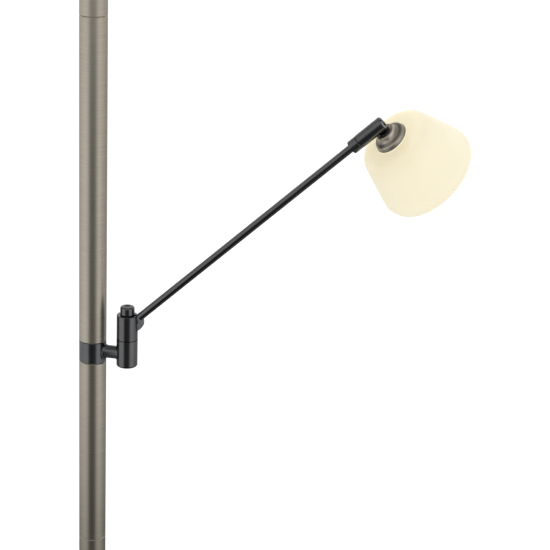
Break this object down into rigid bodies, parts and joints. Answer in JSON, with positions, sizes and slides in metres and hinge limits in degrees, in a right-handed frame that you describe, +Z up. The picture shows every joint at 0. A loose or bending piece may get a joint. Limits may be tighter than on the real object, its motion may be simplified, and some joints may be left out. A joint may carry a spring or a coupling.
{
  "type": "torchiere floor lamp with reading light",
  "caption": "Tall floor lamp with a glass uplighter bowl on a jointed pole and a dimmable reading light in a glass shade on a swinging, tilting arm.",
  "frame": {"origin": "centre of the foot's underside, on the pole's axis", "axes": "+Z up along the pole, +X from the pole to the reading light's bracket"},
  "size_m": [0.5664, 0.3352, 1.8103],
  "materials": {
    "brushed_bronze": "brushed round the tube, warm olive nickel, clear lacquer",
    "polished_bronze": "spun and satin polished, warm olive nickel",
    "black_satin": "black satin powder coat",
    "opal_glass": "blown opal glass, warm cream, acid-etched outside",
    "cream_silicone": "moulded silicone, cream",
    "cast_weight": "raw casting, dip painted",
    "foot_rubber": "sheet rubber",
    "grommet_rubber": "moulded",
    "alloy": "turned",
    "zinc_steel": "zinc plated",
    "bearing_brass": "turned bearing brass",
    "friction_nylon": "stamped black nylon sheet",
    "dimmer_case": "moulded",
    "white_ceramic": "glazed steatite",
    "white_plastic": "moulded heat-proof plastic",
    "lamp_glass": "frosted lamp glass"
  },
  "bodies": {
    "stand": {"foot_pad": "foot_rubber", "foot_weight": "cast_weight", "foot_cover": "brushed_bronze", "cable_grommet": "grommet_rubber", "foot_plug": "alloy", "foot_tie": "zinc_steel", "foot_nut": "zinc_steel", "foot_washer": "zinc_steel", "foot_ring": "polished_bronze", "lower_tube": "brushed_bronze", "middle_tube": "brushed_bronze", "bracket_lower_tube": "brushed_bronze", "bracket_upper_tube": "brushed_bronze", "top_tube": "brushed_bronze", "tube_couplers": "alloy", "top_plug": "alloy", "pole_bracket": "black_satin", "barrel_plug": "black_satin", "swivel_bush": "bearing_brass", "uplight_tie": "zinc_steel", "uplight_cup": "polished_bronze", "uplight_nut": "zinc_steel", "uplight_lampholder": "white_plastic", "uplight_bulb": "lamp_glass", "bowl_gasket": "cream_silicone", "uplight_bowl": "opal_glass", "bowl_ring": "white_plastic"},
    "swivel": {"upper_barrel": "black_satin", "swivel_spindle": "zinc_steel", "swivel_washer": "zinc_steel", "swivel_spring": "zinc_steel", "swivel_nut": "zinc_steel", "dimmer_module": "dimmer_case", "arm_pivot_screw": "zinc_steel", "arm_friction_washers": "friction_nylon"},
    "knob": {"dimmer_knob": "black_satin", "dimmer_shaft": "zinc_steel"},
    "arm": {"arm_knuckle": "black_satin", "arm_rod": "black_satin", "rod_ferrule": "black_satin"},
    "arm_end": {"head_barrel": "black_satin", "head_spindle": "zinc_steel", "head_spin_washer": "friction_nylon", "head_pivot_screw": "zinc_steel", "head_friction_washers": "friction_nylon"},
    "reading_head": {"head_stem": "black_satin", "shade_cap": "polished_bronze", "stem_nut": "zinc_steel", "reading_lampholder": "white_ceramic", "reading_bulb": "lamp_glass", "shade_gasket": "cream_silicone", "reading_shade": "opal_glass", "shade_ring": "white_plastic"}
  },
  "joints": [
    {"name": "arm_swing", "type": "hinge", "parent": "stand", "child": "swivel", "pos_m": [0.0394, 0, 1.2172], "axis": [0, 0, 1], "range_deg": [-130, 130]},
    {"name": "arm_tilt", "type": "hinge", "parent": "swivel", "child": "arm", "pos_m": [0.0476, 0, 1.2386], "axis": [0, -1, 0], "range_deg": [-53, 17]},
    {"name": "head_spin", "type": "hinge", "parent": "arm", "child": "arm_end", "pos_m": [0.30499, 0, 1.47988], "axis": [0.7296, 0, 0.6839], "range_deg": [-150, 90]},
    {"name": "head_tilt", "type": "hinge", "parent": "arm_end", "child": "reading_head", "pos_m": [0.30499, 0, 1.47988], "axis": [-0.342, 0.866, 0.3648], "range_deg": [-92.4, 0.6]},
    {"name": "knob_turn", "type": "hinge", "parent": "swivel", "child": "knob", "pos_m": [0.0394, 0, 1.2454], "axis": [0, 0, -1], "range_deg": [0, 300]}
  ]
}
